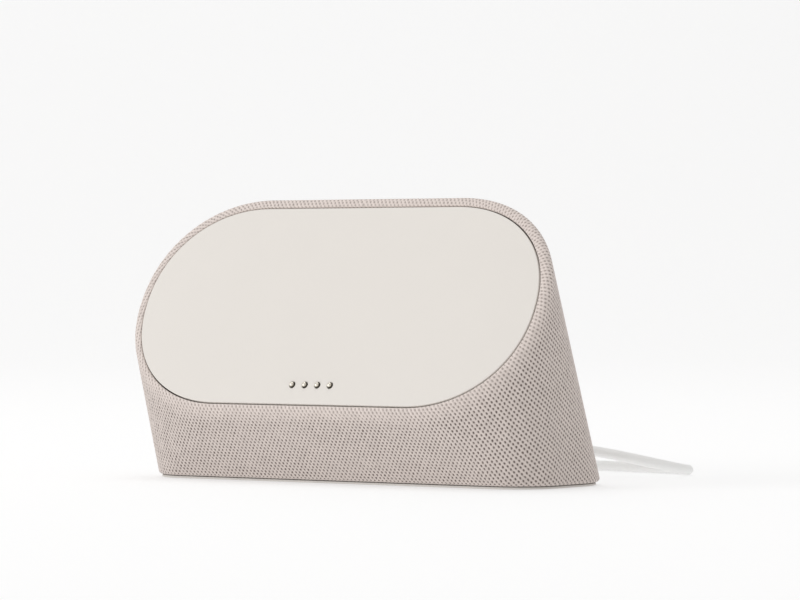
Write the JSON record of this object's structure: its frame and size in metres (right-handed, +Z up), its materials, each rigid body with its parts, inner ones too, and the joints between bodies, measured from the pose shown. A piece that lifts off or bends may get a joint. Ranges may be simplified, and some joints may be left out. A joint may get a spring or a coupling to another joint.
{
  "type": "smart speaker",
  "caption": "Smart speaker dock: fabric-covered wedge with a tilted oval docking plate, sprung contact pins, a rear-firing driver and a plug-in power lead.",
  "frame": {"origin": "centre of the bounding box on the table, without the power lead", "axes": "+Z up, the docking plate faces -Y, +X to the right as seen from behind the plate looking along +Y"},
  "size_m": [0.169, 0.1468, 0.0943],
  "materials": {
    "knit_fabric": "knitted polyester mesh, warm sand yarn",
    "plate_plastic": "fine matte, warm off-white",
    "shell_plastic": "matte",
    "foot_rubber": "matte silicone",
    "contact_plating": "pale bright plating on brass",
    "spring_steel": "bright drawn wire",
    "screw_steel": "zinc plated",
    "steel": "plain",
    "shield_tin": "tinned",
    "magnet": "nickel plated",
    "board_laminate": "solder mask",
    "black_plastic": "moulded",
    "ribbon": "amber film",
    "cone_paper": "pressed paper",
    "surround_rubber": "matte",
    "copper": "enamelled winding",
    "cord_jacket": "satin flexible jacket",
    "adapter_plastic": "satin white"
  },
  "bodies": {
    "dock": {"amp_shield": "shield_tin", "base_plate": "shell_plastic", "base_screw_1": "screw_steel", "base_screw_2": "screw_steel", "base_screw_3": "screw_steel", "base_screw_4": "screw_steel", "capacitor_a": "shield_tin", "capacitor_b": "shield_tin", "contact_barrel_1": "contact_plating", "contact_barrel_2": "contact_plating", "contact_barrel_3": "contact_plating", "contact_barrel_4": "contact_plating", "contact_block": "black_plastic", "contact_board": "board_laminate", "contact_flex": "ribbon", "contact_spring_1": "spring_steel", "contact_spring_2": "spring_steel", "contact_spring_3": "spring_steel", "contact_spring_4": "spring_steel", "counterweight": "steel", "dc_jack": "black_plastic", "dock_magnet_1": "magnet", "dock_magnet_2": "magnet", "dock_magnet_3": "magnet", "dock_magnet_4": "magnet", "driver_basket": "black_plastic", "driver_magnet": "magnet", "driver_screw_1": "screw_steel", "driver_screw_2": "screw_steel", "driver_screw_3": "screw_steel", "driver_screw_4": "screw_steel", "driver_spider": "cone_paper", "driver_surround": "surround_rubber", "driver_top_plate": "steel", "driver_yoke": "steel", "fabric_cover": "knit_fabric", "front_frame": "black_plastic", "front_plate": "plate_plastic", "housing_shell": "shell_plastic", "jack_bezel": "shell_plastic", "jack_pin": "contact_plating", "magnet_keeper": "steel", "main_board": "board_laminate", "power_inductor": "black_plastic", "rubber_foot": "foot_rubber", "speaker_wire": "black_plastic"},
    "driver_cone_body": {"driver_cone": "cone_paper", "driver_dust_cap": "cone_paper", "voice_coil": "copper"},
    "power_lead": {"dc_plug": "cord_jacket", "power_cord": "cord_jacket", "cord_coil": "cord_jacket", "cord_tail": "cord_jacket", "wall_adapter": "adapter_plastic", "adapter_blade_left": "contact_plating", "adapter_blade_right": "contact_plating"},
    "contact_1": {"contact_pin_1": "contact_plating"},
    "contact_2": {"contact_pin_2": "contact_plating"},
    "contact_3": {"contact_pin_3": "contact_plating"},
    "contact_4": {"contact_pin_4": "contact_plating"}
  },
  "joints": [
    {"name": "contact_1_press", "type": "slide", "parent": "dock", "child": "contact_1", "axis": [0, 0.9011, -0.4337], "range_m": [0, 0.001], "stiffness_N_per_m": 300, "springref_m": -0.0008, "deforming": ["contact_spring_1"]},
    {"name": "contact_2_press", "type": "slide", "parent": "dock", "child": "contact_2", "axis": [0, 0.9011, -0.4337], "range_m": [0, 0.001], "stiffness_N_per_m": 300, "springref_m": -0.0008, "deforming": ["contact_spring_2"]},
    {"name": "contact_3_press", "type": "slide", "parent": "dock", "child": "contact_3", "axis": [0, 0.9011, -0.4337], "range_m": [0, 0.001], "stiffness_N_per_m": 300, "springref_m": -0.0008, "deforming": ["contact_spring_3"]},
    {"name": "contact_4_press", "type": "slide", "parent": "dock", "child": "contact_4", "axis": [0, 0.9011, -0.4337], "range_m": [0, 0.001], "stiffness_N_per_m": 300, "springref_m": -0.0008, "deforming": ["contact_spring_4"]},
    {"name": "driver_excursion", "type": "slide", "parent": "dock", "child": "driver_cone_body", "axis": [0, 0.9387, 0.3448], "range_m": [-0.0015, 0.0015], "stiffness_N_per_m": 1800, "deforming": ["driver_surround", "driver_spider"]},
    {"name": "plug_pull", "type": "slide", "parent": "dock", "child": "power_lead", "axis": [0, 1, 0], "range_m": [0, 0.018]}
  ]
}
